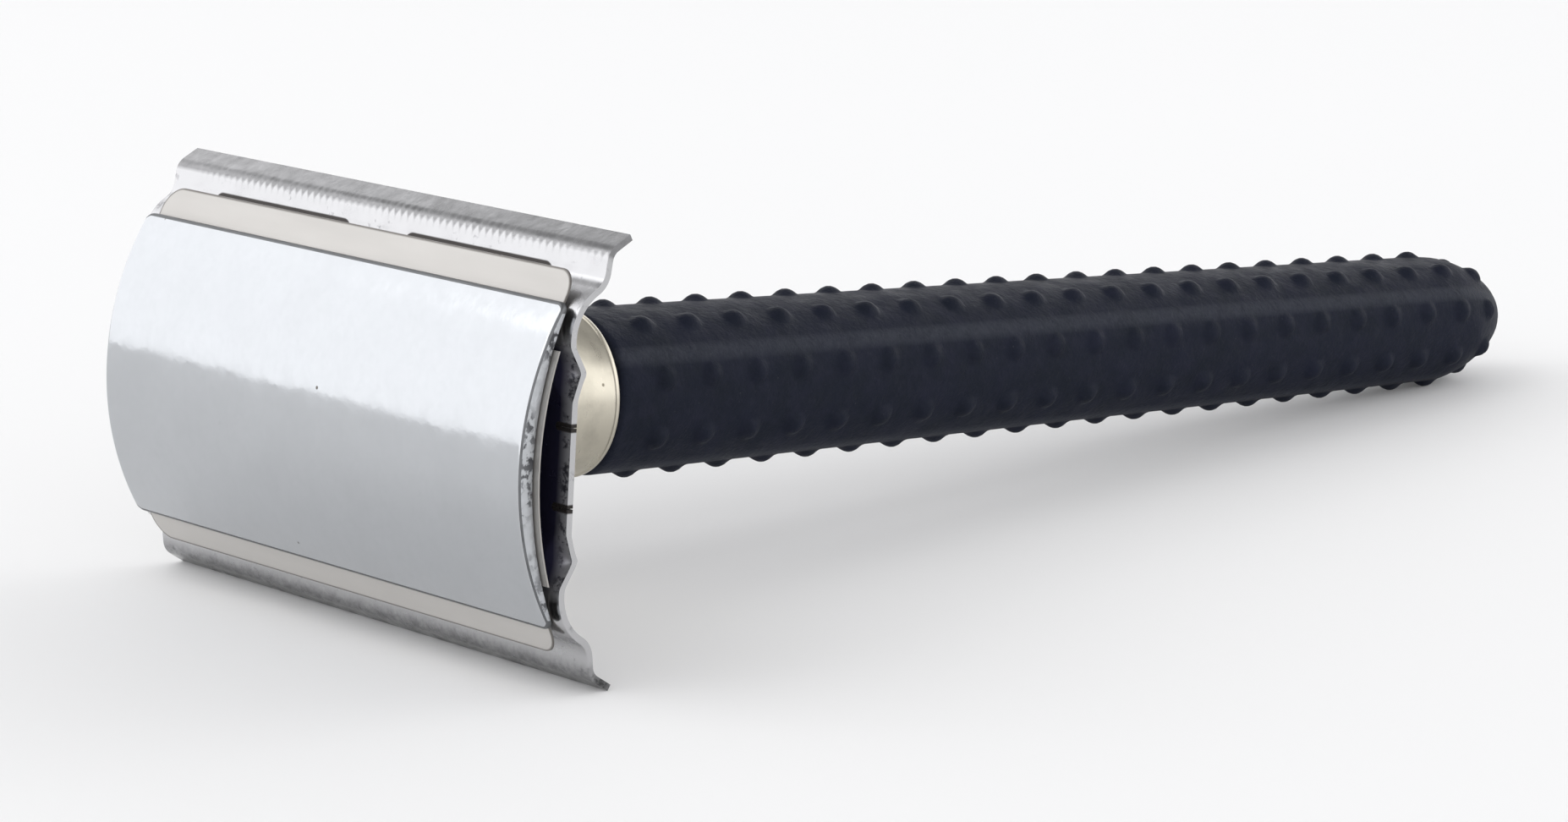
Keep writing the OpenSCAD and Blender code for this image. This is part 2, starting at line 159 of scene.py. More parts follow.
class RazorGripSizes(bpy.types.PropertyGroup):
    """Sizes of the neck and the rubber grip."""
    waist: length("Waist", "Diameter of the neck at its waist", 8.4)
    band: length("Band", "Length of the neck's straight band", 3.6)
    rim: length("Rim", "Width of the rim at the neck's end", 0.3)
    width: length("Width", "Distance between opposite sides of the grip at its front", 9.6)
    ridge: length("Ridge", "Distance between opposite ridges at its front", 10.2)
    side: length("Side bulge", "Radius of the four softly bulging sides", 6.5)
    taper: share("Taper", "Radius lost over each unit of length", 0.0085)
    turn: angle("Turn", "Turn of the grip's sides against the blade", -13.0)
    dome: length("Dome length", "Length of the domed butt from its widest place to its tip", 11.3)
    dome_radius: length("Dome radius", "Radius of the dome at its widest place", 4.75)
    first: length("First ring", "Distance from the grip's front to the first ring of bumps", 3.42)
    pitch: length("Pitch", "Distance between rings of bumps", 3.642)
    rings: bpy.props.IntProperty(name="Rings", description="Rings of bumps", default=22, min=1, max=40)
    bump_turn: angle("Bump turn", "Turn of the rows of bumps against the grip's sides", 6.4)
    row: angle("Row", "Half the angle between the two rows of each side", 22.5)
    bump: length("Bump", "Diameter of a bump at its foot", 1.6)
    height: length("Bump height", "Height of a bump", 0.4)


class RazorFinish(bpy.types.PropertyGroup):
    """Colours and roughness of the finishes."""
    chrome: colour("Chrome", "Colour of the chromed cap", (0.50, 0.515, 0.535))
    chrome_rough: share("Chrome roughness", "Roughness of the chromed cap", 0.10)
    plate: colour("Plate", "Colour of the guard plate", (0.50, 0.50, 0.51))
    blade: colour("Blade", "Colour of the blade steel", (0.50, 0.485, 0.465))
    nickel: colour("Nickel", "Colour of the neck", (0.56, 0.525, 0.44))
    rubber: colour("Rubber", "Colour of the rubber", (0.0085, 0.011, 0.018))
    brass: colour("Brass", "Colour of the thread bush", (0.62, 0.43, 0.16))
    floor: colour("Floor", "Colour of the floor", (0.87, 0.87, 0.87))


def sizes():
    """The property groups on the scene: head, grip, finish."""
    s = bpy.context.scene
    return s.razor_head, s.razor_grip, s.razor_finish


# ---------------------------------------------------------------- meshes

def grid_quads(rows, cols, wrap_rows=False, wrap_cols=False, start=0):
    """Quads of a rows by cols grid, each from corner (i, j) by the next row to the next column."""
    i = np.arange(rows if wrap_rows else rows - 1)
    j = np.arange(cols if wrap_cols else cols - 1)
    i, j = np.meshgrid(i, j, indexing="ij")
    i2, j2 = (i + 1) % rows, (j + 1) % cols
    return start + np.stack([i * cols + j, i2 * cols + j, i2 * cols + j2, i * cols + j2], -1).reshape(-1, 4)


def new_mesh(name, points, faces, uv=None):
    """A mesh of points in millimetres about the handle. uv holds one pair a point, copied to each corner."""
    mesh = bpy.data.meshes.new(name)
    mesh.from_pydata(handle_frame(points).tolist(), [], faces)
    if uv is not None:
        corner = np.zeros(len(mesh.loops), np.int32)
        mesh.loops.foreach_get("vertex_index", corner)
        layer = mesh.uv_layers.new(name="UVMap")
        layer.data.foreach_set("uv", np.asarray(uv, np.float32)[corner].ravel())
    mesh.validate()
    return mesh


def outward(mesh):
    """Merges doubles and turns every face outwards."""
    bm = bmesh.new()
    bm.from_mesh(mesh)
    bmesh.ops.remove_doubles(bm, verts=bm.verts, dist=1e-7)
    bmesh.ops.recalc_face_normals(bm, faces=bm.faces)
    bm.to_mesh(mesh)
    bm.free()


def piece(name, mesh, materials, body, nodes, crease=35):
    """Links a finished piece, smooth but for edges sharper than crease, riding on its body."""
    obj = bpy.data.objects.new(name, mesh)
    bpy.context.scene.collection.objects.link(obj)
    for m in materials:
        mesh.materials.append(m)
    mesh.shade_smooth()
    mesh.set_sharp_from_angle(angle=math.radians(crease))
    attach(obj, body)
    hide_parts(*nodes)
    return obj


def cut(obj, points, faces, skin):
    """Takes a closed cutter, given in millimetres about the handle, out of an object.

    The walls of the cut get the skin."""
    tool = bpy.data.objects.new("cutter", new_mesh("cutter", points, faces))
    outward(tool.data)
    tool.data.materials.append(skin)
    bpy.context.scene.collection.objects.link(tool)
    mod = obj.modifiers.new("cut", "BOOLEAN")
    mod.operation, mod.solver, mod.object, mod.material_mode = "DIFFERENCE", "EXACT", tool, "TRANSFER"
    bpy.context.view_layer.update()
    done = bpy.data.meshes.new_from_object(obj.evaluated_get(bpy.context.evaluated_depsgraph_get()))
    if len(done.polygons) < len(obj.data.polygons) // 2:
        raise RuntimeError("a cut took most of " + obj.name)
    obj.modifiers.clear()
    obj.data = done
    bpy.data.objects.remove(tool)


def prisms(outlines, y0, y1):
    """Upright prisms: each outline [x, z] is carried from y0 to y1 and closed at both ends."""
    points, faces, start = [], [], 0
    for o in outlines:
        o = np.asarray(o, float)
        n = len(o)
        for y in (y0, y1):
            points.append(np.stack([o[:, 0], np.full(n, y), o[:, 1]], 1))
        faces += grid_quads(2, n, wrap_cols=True, start=start).tolist()
        faces += [list(range(start, start + n)), list(range(start + n, start + 2 * n))]
        start += 2 * n
    return np.concatenate(points), faces


def slot_outline(x, z, l, w, n=10):
    """A slot along x with round ends: two half circles of diameter w, l apart over all."""
    a = np.linspace(-90, 90, n) * math.pi / 180
    right = np.stack([x + (l - w) / 2 + w / 2 * np.cos(a), z + w / 2 * np.sin(a)], 1)
    return np.concatenate([right, 2 * np.array([x, z]) - right])


def four_slots(x, z, l, w, n=10):
    """The same slot in all four places, at plus and minus x and z."""
    return [slot_outline(i * x, j * z, l, w, n) for i in (-1, 1) for j in (-1, 1)]


def disc_outline(x, z, r, n=40):
    """A circle of n points."""
    a = np.arange(n) * 2 * math.pi / n
    return np.stack([x + r * np.cos(a), z + r * np.sin(a)], 1)


# ---------------------------------------------------------------- shapes

def cap_surface(s):
    """The cap: at each x a closed section of an outer arc, a thin edge, the inner arc and the other edge.

    Outer arc: y = centre - sqrt(R^2 - z^2). The half width follows the rounded corners, and towards the ends
    the outer arc sinks along a quarter circle. Slow waves of a few hundredths lie on the outer face. The last
    array gives each face its skin: 0 the face, 1 the sheared ends, 2 the line of painted shadow round the
    face."""
    half, width = CAP_HI[0], CAP_HI[2]
    under, centre = s.cap_under / MM, s.bend_centre / MM
    inner_edge = centre - math.sqrt(under ** 2 - width ** 2)
    rise = inner_edge - s.cap_edge / MM - CAP_LO[1]
    outer = (width ** 2 + rise ** 2) / (2 * rise)
    corner, roll = s.cap_corner / MM, s.cap_roll / MM
    a = np.radians(np.linspace(0, 90, 6))
    end = np.concatenate([np.linspace(half - corner, half - roll, 7)[:-1], half - roll + roll * np.sin(a)])
    x = np.concatenate([-end[::-1], np.linspace(-(half - corner), half - corner, 90)[1:-1], end])
    into = np.clip(np.abs(x) - (half - corner), 0, corner)
    wide = width - (corner - np.sqrt(corner ** 2 - into ** 2))
    tuck = np.clip(np.abs(x) - (half - roll), 0, roll)
    sink = roll - np.sqrt(np.maximum(roll ** 2 - tuck ** 2, 0))
    # across the section: points lie closer towards the edges, and both arcs stop a little short of them
    crowd, short_out, short_in = math.pi / 2 * 0.92, 0.05, 0.03
    u = np.sin(np.linspace(-1, 1, 91) * crowd) / math.sin(crowd)
    z_out = u[None] * (wide - short_out)[:, None]
    wave = sum(w * np.sin(x[:, None] * kx + z_out * kz + phase) for w, kx, kz, phase in CAP_WAVES)
    wave = wave * s.cap_wave / MM / 2
    y_out = CAP_LO[1] + outer - np.sqrt(outer ** 2 - z_out ** 2) + sink[:, None]
    y_out = np.maximum(y_out + wave * (1 - np.abs(u)) ** 0.5, CAP_LO[1])
    z_in = u[::-1][None] * (wide - short_in)[:, None]
    y_in = centre - np.sqrt(under ** 2 - z_in ** 2)
    # the thin edges: three points round from one arc to the other
    t = np.array([0.22, 0.5, 0.78])
    high, low = [y1[:, None] * (1 - t) + y2[:, None] * t
                 for y1, y2 in ((y_out[:, -1], y_in[:, 0]), (y_in[:, -1], y_out[:, 0]))]
    z_edge = np.repeat(wide[:, None], len(t), 1)
    y = np.concatenate([y_out, high, y_in, low], 1)
    z = np.concatenate([z_out, z_edge, z_in, -z_edge], 1)
    n = y.shape[1]
    points = np.stack([np.repeat(x[:, None], n, 1), y, z], -1).reshape(-1, 3)
    faces = grid_quads(len(x), n, wrap_cols=True).tolist()
    k = len(u)
    ring = [[i, i + 1, 2 * k + 1 - i, 2 * k + 2 - i] for i in range(k - 1)]
    ring.append([k - 1, k, k + 1, k + 2, k + 3])
    ring.append([0, 2 * k + 5, 2 * k + 4, 2 * k + 3, 2 * k + 2])
    last = (len(x) - 1) * n
    faces += ring + [[v + last for v in f] for f in ring]
    # the painted shadow line: the roll's steep part and the thin edges
    kind = np.zeros((len(x) - 1, n), np.int32)
    kind[:, [0, 1, k - 3, k - 2]] = 2
    kind[:, k - 1:k + 3] = kind[:, 2 * k + 2:] = 2
    kind[:3, :k - 1] = kind[-3:, :k - 1] = 2
    return points, faces, np.concatenate([kind.ravel(), np.ones(2 * len(ring), np.int32)])


def sheet_line(s):
    """Middle line of the plate's half section: points (y, z) and unit normals from the seat to the lip's tip.

    Straight runs and arcs follow one another, each starting in the direction in which the last one ended."""
    t = s.sheet / MM
    seat_mid = -t / 2
    shelf_mid = seat_mid - s.shelf_rise / MM
    ra, rb, rl = s.shoulder / MM, s.valley / MM, s.lip_bend / MM
    sa, ga, la = s.slope_angle, s.guard_angle, s.lip_angle
    z0, seat = s.shelf / MM / 2, s.seat / MM / 2
    ramp = s.ramp / MM
    guard_mid = shelf_mid + (ra + rb) * (1 - math.cos(sa)) + s.slope / MM * math.sin(sa)
    valley_z = z0 + ra * math.sin(sa) + s.slope / MM * math.cos(sa) + rb * math.sin(sa)
    guard = s.guard / MM * np.array([math.sin(ga), math.cos(ga)])
    w = np.linspace(0, 1, 9)
    parts = [np.stack([np.full(14, seat_mid), np.linspace(0, seat, 14)], 1),
             np.stack([seat_mid + (shelf_mid - seat_mid) * (3 - 2 * w) * w ** 2, seat + ramp * w], 1)[1:],
             np.stack([np.full(16, shelf_mid), np.linspace(seat + ramp, z0, 16)], 1)[1:]]
    a = np.linspace(0, sa, 15)[1:]
    parts.append(np.stack([shelf_mid + ra * (1 - np.cos(a)), z0 + ra * np.sin(a)], 1))
    a = np.linspace(sa, ga, 13)
    parts.append(np.stack([guard_mid - rb * (1 - np.cos(a)), valley_z - rb * np.sin(a)], 1))
    centre = parts[-1][-1] + guard + rl * np.array([math.cos(ga), -math.sin(ga)])
    a = np.linspace(ga, la, 12)
    parts.append(centre + rl * np.stack([-np.cos(a), np.sin(a)], 1))
    tip = parts[-1][-1] + s.lip / MM * np.array([math.sin(la), math.cos(la)])
    parts.append(np.linspace(parts[-1][-1], tip, 5)[1:])
    line = np.concatenate(parts)
    keep = np.r_[True, np.linalg.norm(np.diff(line, axis=0), axis=1) > 1e-4]
    line = line[keep]
    run = np.gradient(line, axis=0)
    run[0] = (0, 1)
    run /= np.linalg.norm(run, axis=1)[:, None]
    normal = np.stack([-run[:, 1], run[:, 0]], 1)
    return line, normal


def plate_surface(s):
    """The pressed sheet: its middle line is carried along x and given its thickness on both sides.

    The dimples push both faces back by a blunt cone, depth * w * log(1 + exp((1 + w - q) / w)) with
    q = sqrt((d / (wider * radius))^2 + blunt^2) and d the distance to the dimple. Faces close round the
    lips' tips and the two ends. UV: u is the distance along x, v the distance over the section."""
    half, t = PLATE_HI[0], s.sheet / MM
    line, normal = sheet_line(s)
    line = np.concatenate([line[:0:-1] * [1, -1], line])
    normal = np.concatenate([normal[:0:-1] * [1, -1], normal])
    over = np.r_[0, np.cumsum(np.linalg.norm(np.diff(line, axis=0), axis=1))]
    over -= over[-1] / 2
    # columns lie close in the last stretch at both ends, and rows are evened out where the dimples are
    stretch, low, high = 1.6, 3.4, 6.8
    end = half - np.linspace(0, stretch, 60)[::-1]
    x = np.concatenate([-end[::-1], np.linspace(-end[0], end[0], 70)[1:-1], end])
    dz = np.linspace(low, high, 35)
    even = np.concatenate([-dz[::-1], dz])
    near = (np.abs(line[:, 1]) > low) & (np.abs(line[:, 1]) < high)
    rows = np.column_stack([line, normal, over])
    evened = np.column_stack([np.interp(even, line[:, 1], column) for column in rows.T])
    rows = np.concatenate([rows[~near], evened])
    rows = rows[np.argsort(rows[:, 4])]
    line, normal, over = rows[:, :2], rows[:, 2:4], rows[:, 4]
    r, deep, span = s.dimple / MM, s.dimple_depth / MM, s.dimple_span / MM / 2
    wider, blunt, w = 1.15, 0.12, 0.06
    d = np.sqrt((half - np.abs(x))[:, None] ** 2 + (np.abs(line[:, 1]) - span)[None] ** 2)
    q = np.sqrt((d / (r * wider)) ** 2 + blunt ** 2)
    push = deep * w * np.log1p(np.exp(np.clip((1 + w - q) / w, -40, 40)))
    m, n = len(x), len(line)
    sides = []
    for side in (1, -1):
        face = line + side * normal * t / 2
        sides.append(np.stack([np.repeat(x[:, None], n, 1), face[:, 0] + push,
                               np.repeat(face[None, :, 1], m, 0)], -1))
    points = np.concatenate([sides[0], sides[1][:, ::-1]], 1).reshape(-1, 3)
    uv = np.stack([np.repeat(x, 2 * n), np.tile(np.r_[over, over[::-1]], m)], -1) / UV_SPAN + 0.5
    faces = grid_quads(m, 2 * n, wrap_cols=True).tolist()
    ring = [[j, j + 1, 2 * n - 2 - j, 2 * n - 1 - j] for j in range(n - 1)]
    last = (m - 1) * 2 * n
    faces += ring + [[v + last for v in f] for f in ring]
    return points, faces, uv


def turned(profile, steps=128):
    """A profile of (radius, y) turned once about the handle's axis and closed along its own start and end."""
    p = np.asarray(profile, float)
    a = np.arange(steps) * 2 * math.pi / steps
    points = np.stack([p[None, :, 0] * np.cos(a)[:, None], np.repeat(p[None, :, 1], steps, 0),
                       p[None, :, 0] * np.sin(a)[:, None]], -1).reshape(-1, 3)
    return points, grid_quads(steps, len(p), wrap_rows=True, wrap_cols=True).tolist()


def neck_profile(g):
    """The neck: its flange, a waist, the straight band with a thin rim at its end, and its bores.

    Flange to waist and waist to band are half cosine waves of the radius over y."""
    end, front = NECK_HI[1], NECK_HI[0]
    band, waist, rim = g.band / MM, g.waist / MM / 2, g.rim / MM
    # the flange's thickness and rounding, the step behind it, the band's radius, how far the rim stands out
    thick, edge, step, r, out = 0.9, 0.16, 0.12, 4.9, 0.12
    # the radii of the bores for the core and for the bush, and where they meet
    core, bush, meet = 3.53, 2.7, 3.2
    # the shares of the length over which the neck narrows and widens again
    narrows, widens = 0.4, 0.58
    span, foot, top = end - band - thick, thick + step, r + out
    turn = np.linspace(0, 1, 15)
    first = np.stack([waist + (front - waist) * 0.4 * (1 + np.cos(math.pi * turn)),
                      foot + span * narrows * turn], 1)
    turn = turn[1:]
    second = np.stack([waist + (r - waist) * (1 - np.cos(math.pi * turn)) / 2,
                       foot + span * (narrows + widens * turn)], 1)
    bead = np.radians(np.linspace(0, 90, 5))
    flange = np.concatenate([
        np.stack([front - edge + edge * np.sin(bead), edge - edge * np.cos(bead)], 1),
        np.stack([front - edge + edge * np.cos(bead), thick - edge + edge * np.sin(bead)], 1)])
    last = [[r, end - rim - 0.05], [r + 0.03, end - rim], [top - 0.02, end - rim + 0.03],
            [top, end - rim / 2], [top - 0.02, end - 0.04], [top - 0.08, end],
            [core, end], [core, meet], [bush, meet], [bush, 0]]
    return np.concatenate([flange, first, second, last])


def grip_section(g, a, y):
    """Radius of the grip at angle a and place y, given as arrays: four bulging sides met by rounded ridges.

    A side is a circle of radius side whose centre lies side - width / 2 behind the axis. The least of the
    four sides and the ridge radius is taken with a soft minimum, about - k log(sum exp((about - r) / k)),
    where about only keeps the powers small."""
    lost = g.taper * (y - GRIP_LO[1])
    r = g.side / MM - lost
    back = g.side / MM - g.width / MM / 2
    k, about = 0.02, 5.0
    total = np.exp((about - (g.ridge / MM / 2 - lost)) / k)
    for f in range(4):
        b = a - g.turn - f * math.pi / 2
        reach = np.sqrt(np.maximum(r * r - (back * np.sin(b)) ** 2, 0.01)) - back * np.cos(b)
        total = total + np.exp((about - reach) / k)
    return about - k * np.log(total)


def grip_surface(g):
    """The rubber sleeve as a grid of angle a by place y, with rows and columns fine around each bump.

    Its radius is the soft minimum of the section's reach and the dome, dome_radius * sqrt(1 - (t / dome)^2)
    with t the distance past the dome's widest place. A bump lifts the surface along its normal by height
    times a softened 1 - q^2, with q = distance / radius: w * log(1 + exp((1 - q^2) / w))."""
    front, end = GRIP_LO[1], GRIP_HI[1]
    long, wide = g.dome / MM, g.dome_radius / MM
    widest = end - long
    rows = [g.turn + g.bump_turn + f * math.pi / 2 + s * g.row for f in range(4) for s in (-1, 1)]
    ring = front + g.first / MM + np.arange(g.rings) * g.pitch / MM
    foot = g.bump / MM / 2
    near = np.array([0.13, 0.4, 0.66, 0.87, 1.05, 1.25, 1.5]) * foot
    near = np.concatenate([-near[::-1], near])
    # columns: round each row of bumps, and at and beside the middle of each side and ridge
    mean_radius, beside = 4.75, 0.06
    mids = g.turn + np.arange(8) * math.pi / 4
    a = np.concatenate([np.add.outer(rows, near / mean_radius).ravel(), mids, mids + beside, mids - beside])
    a = np.unique(np.round(np.mod(a, 2 * math.pi), 5))
    # rows: round each ring of bumps, plain ones between, and over the dome by equal steps of a quarter
    # circle; rows closer than apart are thinned out, but for the dome's last millimetre
    plain, apart = 0.9, 0.08
    rise = np.linspace(0, math.pi / 2, 40)[:-1]
    y = np.concatenate([np.add.outer(ring, near).ravel(), np.arange(front + 0.6, widest, plain),
                        widest + long * np.sin(rise)])
    y = np.unique(np.round(y[(y > front + 0.5) & (y < end - 0.005)], 4))
    y = y[np.r_[True, np.diff(y) > np.where(y > end - 1, 0.0, apart)[1:]]]

    def dome(at):
        return wide * np.sqrt(np.clip(1 - ((at - widest) / long) ** 2, 0, 1))

    A, Y = np.meshgrid(a, y)
    k = 0.05
    side, cover = grip_section(g, A, Y), np.where(Y > widest, dome(Y), np.inf)
    reach = np.minimum(side, cover) - k * np.log1p(np.exp(-np.abs(side - cover) / k))
    base = np.stack([reach * np.cos(A), Y, reach * np.sin(A)], -1)
    lift, w = np.zeros_like(A), 0.1
    for at in ring:
        for row in rows:
            r = grip_section(g, np.array([row]), np.array([at]))[0]
            r = min(r, dome(at)) if at > widest else r
            q = np.linalg.norm(base - np.array([r * math.cos(row), at, r * math.sin(row)]), axis=-1) / foot
            lift = np.maximum(lift, w * np.log1p(np.exp(np.clip((1 - q * q) / w, -30, 30))))
    lift *= g.height / MM
    around = np.roll(base, -1, 1) - np.roll(base, 1, 1)
    normal = np.cross(np.gradient(base, axis=0), around)
    normal /= np.linalg.norm(normal, axis=-1)[..., None]
    skin = base + normal * lift[..., None]
    n = len(a)
    # the bore round the core, the rounded front edge, then the skin
    edge, play = 0.38, 0.03
    bore, deep = CORE_HI[0] + play, CORE_HI[1] + play
    bead = np.radians(np.linspace(90, 0, 6))
    first = grip_section(g, a, np.full(n, front))
    collar = [(np.full(n, bore), deep), (np.full(n, bore), front)]
    collar += [(first - edge + edge * math.cos(b), front + edge - edge * math.sin(b)) for b in bead]
    rim = np.stack([np.stack([r * np.cos(a), np.full(n, at), r * np.sin(a)], -1) for r, at in collar])
    grid = np.concatenate([rim, skin])
    points = grid.reshape(-1, 3)
    faces = grid_quads(len(grid), n, wrap_cols=True).tolist()
    # the tip of the butt and the bottom of the bore
    tip = len(points)
    points = np.concatenate([points, [[0, end, 0]], [[0, deep, 0]]])
    last = (len(grid) - 1) * n
    j = np.arange(n)
    faces += np.stack([last + j, np.full(n, tip), last + (j + 1) % n], 1).tolist()
    faces += np.stack([(j + 1) % n, np.full(n, tip + 1), j], 1).tolist()
    return points, faces


# ---------------------------------------------------------------- finishes

class Finish:
    """A material's node tree, built a node at a time."""

    def __init__(self, name, colour, metallic, roughness, specular=0.5):
        self.mat = bpy.data.materials.new(name)
        self.mat.use_nodes = True
        self.tree = self.mat.node_tree
        self.shader = self.tree.nodes["Principled BSDF"]
        self.shader.inputs["Base Color"].default_value = (*colour, 1)
        self.shader.inputs["Metallic"].default_value = metallic
        self.shader.inputs["Roughness"].default_value = roughness
        self.shader.inputs["Specular IOR Level"].default_value = specular
        self.coord = self.node("ShaderNodeTexCoord")
        self.colour, self.height = colour, None

    def node(self, kind, **values):
        n = self.tree.nodes.new(kind)
        for k, v in values.items():
            if k in n.inputs:
                n.inputs[k].default_value = v
            else:
                setattr(n, k, v)
        return n

    def link(self, a, b):
        self.tree.links.new(a, b)

    def place(self, axis):
        """Distance from the seat along an axis of the handle's frame, in millimetres."""
        n = self.node("ShaderNodeVectorMath", operation="DOT_PRODUCT")
        n.inputs[1].default_value = tuple(axis)
        self.link(self.coord.outputs["Object"], n.inputs[0])
        return self.math("DIVIDE", self.math("SUBTRACT", n.outputs["Value"], float(SEAT @ axis)), MM)

    def facing(self, axis):
        """How far a face points along an axis: 1 along it, -1 against it."""
        n = self.node("ShaderNodeVectorMath", operation="DOT_PRODUCT")
        n.inputs[1].default_value = tuple(axis)
        self.link(self.node("ShaderNodeNewGeometry").outputs["True Normal"], n.inputs[0])
        return n.outputs["Value"]

    def noise(self, scale, detail=3.0, rough=0.55, stretch=None):
        """Noise whose grain is 1 / scale of a metre, with its own scale along each axis if asked."""
        out = self.coord.outputs["Object"]
        if stretch is not None:
            m = self.node("ShaderNodeMapping")
            m.inputs["Scale"].default_value = stretch
            self.link(out, m.inputs["Vector"])
            out = m.outputs["Vector"]
        n = self.node("ShaderNodeTexNoise", Scale=scale, Detail=detail, Roughness=rough)
        self.link(out, n.inputs["Vector"])
        return n.outputs["Fac"]

    def spots(self, scale, low, high):
        """Round specks, 1 in the middle of a cell and 0 outside."""
        n = self.node("ShaderNodeTexVoronoi", Scale=scale)
        self.link(self.coord.outputs["Object"], n.inputs["Vector"])
        return self.ramp(n.outputs["Distance"], (low, 1.0), (high, 0.0))

    def ramp(self, value, start, stop):
        """A straight ramp between two pairs (value in, value out), level outside them."""
        r = self.node("ShaderNodeMapRange")
        r.clamp = True
        for k, v in zip(("From Min", "From Max", "To Min", "To Max"), (start[0], stop[0], start[1], stop[1])):
            r.inputs[k].default_value = v
        self.link(value, r.inputs["Value"])
        return r.outputs["Result"]

    def math(self, op, a, b=0):
        """One step of reckoning with numbers or sockets. b stays 0 where the step takes a alone."""
        n = self.node("ShaderNodeMath", operation=op)
        for socket, v in zip(n.inputs, (a, b)):
            if isinstance(v, (int, float)):
                socket.default_value = v
            else:
                self.link(v, socket)
        return n.outputs["Value"]

    def times(self, first, *others):
        """The product of all that is given."""
        for v in others:
            first = self.math("MULTIPLY", first, v)
        return first

    def past(self, value, edge):
        """How far a value is past an edge, and 0 before it."""
        return self.math("MAXIMUM", self.math("SUBTRACT", value, edge))

    def distance(self, dx, dy):
        """Length of the straight line over dx and dy."""
        return self.math("SQRT", self.math("ADD", self.times(dx, dx), self.times(dy, dy)))

    def tint(self, value, other):
        """Moves the base colour towards another by value."""
        m = self.node("ShaderNodeMix", data_type="RGBA")
        source = self.shader.inputs["Base Color"]
        if source.is_linked:
            self.link(source.links[0].from_socket, m.inputs[6])
        else:
            m.inputs[6].default_value = (*self.colour, 1)
        m.inputs[7].default_value = (*other, 1)
        self.link(value, m.inputs[0])
        self.link(m.outputs[2], source)

    def rough(self, value, low, high):
        """Roughness from low to high over the middle of a noise's values."""
        self.link(self.ramp(value, (0.3, low), (0.7, high)), self.shader.inputs["Roughness"])

    def bump(self, value, distance, strength=1.0):
        """Adds a height, in metres."""
        b = self.node("ShaderNodeBump", Strength=strength, Distance=distance)
        self.link(value, b.inputs["Height"])
        if self.height is not None:
            self.link(self.height, b.inputs["Normal"])
        self.height = b.outputs["Normal"]
        self.link(self.height, self.shader.inputs["Normal"])


def dark(c, f):
    """A colour times f."""
    return tuple(v * f for v in c)


def chrome_face(f):
    m = Finish("polished_chrome", f.chrome, 1.0, f.chrome_rough)
    m.rough(m.noise(900, 4), 0.075, 0.17)
    m.tint(m.ramp(m.noise(260, 3), (0.42, 0.0), (0.8, 0.35)), dark(f.chrome, 0.9))
    m.tint(m.ramp(m.noise(1300, 5, 0.75), (0.42, 0.0), (0.66, 0.35)), dark(f.chrome, 0.92))
    m.tint(m.spots(300, 0.022, 0.04), (0.12, 0.11, 0.10))
    m.bump(m.noise(1500, 3), 0.0000045)
    m.bump(m.noise(420, 2), 0.000010)
    return m.mat


def sheared_metal(f):
    m = Finish("sheared_edge", dark(f.chrome, 0.95), 1.0, 0.42)
    m.rough(m.noise(1800, 3), 0.3, 0.6)
    patch = m.ramp(m.noise(260, 2), (0.44, 0.0), (0.6, 1.0))
    m.tint(m.times(patch, m.ramp(m.noise(2300, 3), (0.48, 0.0), (0.58, 0.92))), (0.045, 0.045, 0.05))
    m.bump(m.noise(1700, 3), 0.00006)
    return m.mat


# Painted shadow: a near-black chrome for the line along the cap's thin edges and round its face.
def painted_shadow_line(f):
    m = Finish("painted_shadow_line", dark(f.chrome, 0.26), 1.0, 0.35)
    m.rough(m.noise(900, 3), 0.3, 0.5)
    m.tint(m.ramp(m.noise(900, 3), (0.4, 0.0), (0.7, 0.6)), dark(f.chrome, 0.4))
    return m.mat


